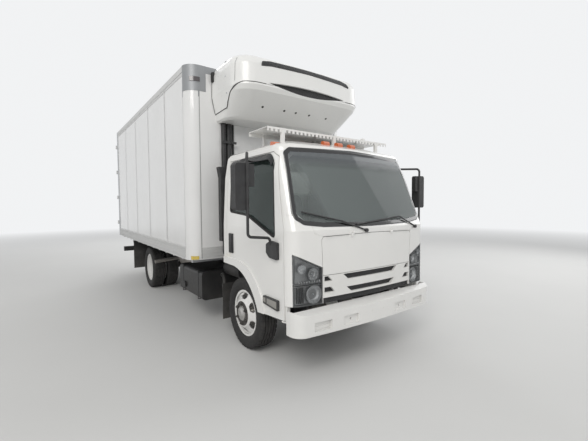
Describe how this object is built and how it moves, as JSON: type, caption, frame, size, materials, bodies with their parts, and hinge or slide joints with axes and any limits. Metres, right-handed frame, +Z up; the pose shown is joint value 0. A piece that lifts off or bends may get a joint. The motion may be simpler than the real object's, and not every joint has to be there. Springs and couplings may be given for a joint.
{
  "type": "refrigerated truck",
  "caption": "Cab-over refrigerated truck: tilting cab, insulated van body with rear doors, nose-mounted cooling unit and twin rear wheels.",
  "frame": {"origin": "middle of the truck's length and width, on the ground", "axes": "+Y along the truck towards its rear doors, +X to the driver's side (left), +Z up; the front faces -Y"},
  "size_m": [2.79, 7.042, 3.4099],
  "materials": {
    "frame_black": "satin black chassis paint",
    "white_paint": "gloss white body paint",
    "body_sheet": "gloss white prepainted sheet",
    "bare_aluminium": "satin aluminium extrusion",
    "unit_white": "gloss white moulded cover",
    "unit_dark": "matt black mesh",
    "black_plastic": "grained black plastic",
    "grille_white": "gloss white plastic",
    "lamp_clear": "clear lens over a silver reflector",
    "lamp_red": "clear red and amber lenses",
    "cab_glass": "tinted safety glass",
    "tyre_rubber": "black tread rubber",
    "flap_rubber": "black sheet rubber",
    "wheel_white": "white wheel enamel",
    "cast_dark": "dark cast iron",
    "steel_pipe": "aluminised steel",
    "seat_cloth": "grey woven cloth",
    "floor_grey": "grey floor pan",
    "galvanised": "galvanised steel"
  },
  "bodies": {
    "chassis_and_body": {"frame_rails": "frame_black", "front_bumper": "white_paint", "front_axle": "cast_dark", "rear_axle": "cast_dark", "powertrain": "cast_dark", "exhaust": "steel_pipe", "fuel_tank": "frame_black", "intake_snorkel": "black_plastic", "mud_flaps": "flap_rubber", "rear_bumper": "frame_black", "box_floor": "bare_aluminium", "box_front_wall": "body_sheet", "box_side_walls": "body_sheet", "box_roof": "body_sheet", "box_rails": "bare_aluminium", "box_rear_frame": "galvanised", "box_lamps": "lamp_red", "unit_cover": "unit_white", "unit_belly": "unit_white", "unit_grilles": "unit_dark", "evaporator": "bare_aluminium", "unit_hoses": "black_plastic"},
    "cab": {"cab_back": "white_paint", "cab_roof": "white_paint", "cab_front": "white_paint", "cab_floor": "floor_grey", "cab_glass": "cab_glass", "seats": "seat_cloth", "dashboard": "black_plastic", "cab_lamps": "lamp_clear", "wipers": "black_plastic", "roof_deck": "bare_aluminium", "grille": "grille_white", "grille_mesh": "unit_dark", "wheel_liners": "black_plastic"},
    "front_lid": {"front_lid": "white_paint"},
    "cab_door_right": {"cab_door_right": "white_paint", "door_glass_right": "cab_glass", "door_fittings_right": "black_plastic"},
    "cab_door_left": {"cab_door_left": "white_paint", "door_glass_left": "cab_glass", "door_fittings_left": "black_plastic"},
    "knuckle_right": {"knuckle_right": "cast_dark"},
    "knuckle_left": {"knuckle_left": "cast_dark"},
    "tie_rod": {"tie_rod": "cast_dark"},
    "front_wheel_right": {"wheel_front_right": "wheel_white", "tyre_front_right": "tyre_rubber"},
    "front_wheel_left": {"wheel_front_left": "wheel_white", "tyre_front_left": "tyre_rubber"},
    "rear_wheels_right": {"wheels_rear_right": "wheel_white", "tyres_rear_right": "tyre_rubber"},
    "rear_wheels_left": {"wheels_rear_left": "wheel_white", "tyres_rear_left": "tyre_rubber"},
    "box_door_right": {"box_door_right": "body_sheet"},
    "box_door_left": {"box_door_left": "body_sheet"}
  },
  "joints": [
    {"name": "cab_tilt", "type": "hinge", "parent": "chassis_and_body", "child": "cab", "pos_m": [0, -3.421, 0.56], "axis": [1, 0, 0], "range_deg": [0, 45]},
    {"name": "front_lid_open", "type": "hinge", "parent": "cab", "child": "front_lid", "pos_m": [0, -3.448, 1.349], "axis": [-1, 0, 0], "range_deg": [0, 70]},
    {"name": "cab_door_right_open", "type": "hinge", "parent": "cab", "child": "cab_door_right", "pos_m": [-0.987, -3.236, 0.9], "axis": [0, 0, 1], "range_deg": [0, 70]},
    {"name": "cab_door_left_open", "type": "hinge", "parent": "cab", "child": "cab_door_left", "pos_m": [0.987, -3.236, 0.9], "axis": [0, 0, -1], "range_deg": [0, 70]},
    {"name": "steer_right", "type": "hinge", "parent": "chassis_and_body", "child": "knuckle_right", "pos_m": [-0.7, -2.356, 0.403], "axis": [0, 0, 1], "range_deg": [-36, 36]},
    {"name": "steer_left", "type": "hinge", "parent": "chassis_and_body", "child": "knuckle_left", "pos_m": [0.7, -2.356, 0.403], "axis": [0, 0, 1], "range_deg": [-36, 36]},
    {"name": "tie_rod_pivot", "type": "hinge", "parent": "knuckle_right", "child": "tie_rod", "pos_m": [-0.7, -2.206, 0.308], "axis": [0, 0, 1], "range_deg": [-36, 36]},
    {"name": "front_wheel_right_spin", "type": "hinge", "parent": "knuckle_right", "child": "front_wheel_right", "pos_m": [-0.8325, -2.356, 0.403], "axis": [1, 0, 0], "continuous": true},
    {"name": "front_wheel_left_spin", "type": "hinge", "parent": "knuckle_left", "child": "front_wheel_left", "pos_m": [0.8325, -2.356, 0.403], "axis": [1, 0, 0], "continuous": true},
    {"name": "rear_wheels_right_spin", "type": "hinge", "parent": "chassis_and_body", "child": "rear_wheels_right", "pos_m": [-0.84, 1.454, 0.403], "axis": [1, 0, 0], "continuous": true},
    {"name": "rear_wheels_left_spin", "type": "hinge", "parent": "chassis_and_body", "child": "rear_wheels_left", "pos_m": [0.84, 1.454, 0.403], "axis": [1, 0, 0], "continuous": true},
    {"name": "box_door_right_open", "type": "hinge", "parent": "chassis_and_body", "child": "box_door_right", "pos_m": [-1.309, 3.43, 2.15], "axis": [0, 0, 1], "range_deg": [0, 270]},
    {"name": "box_door_left_open", "type": "hinge", "parent": "chassis_and_body", "child": "box_door_left", "pos_m": [1.309, 3.43, 2.15], "axis": [0, 0, -1], "range_deg": [0, 270]}
  ],
  "couplings": [
    {"joint": "steer_left", "follows": "steer_right", "ratio": 1},
    {"joint": "tie_rod_pivot", "follows": "steer_right", "ratio": -1}
  ]
}
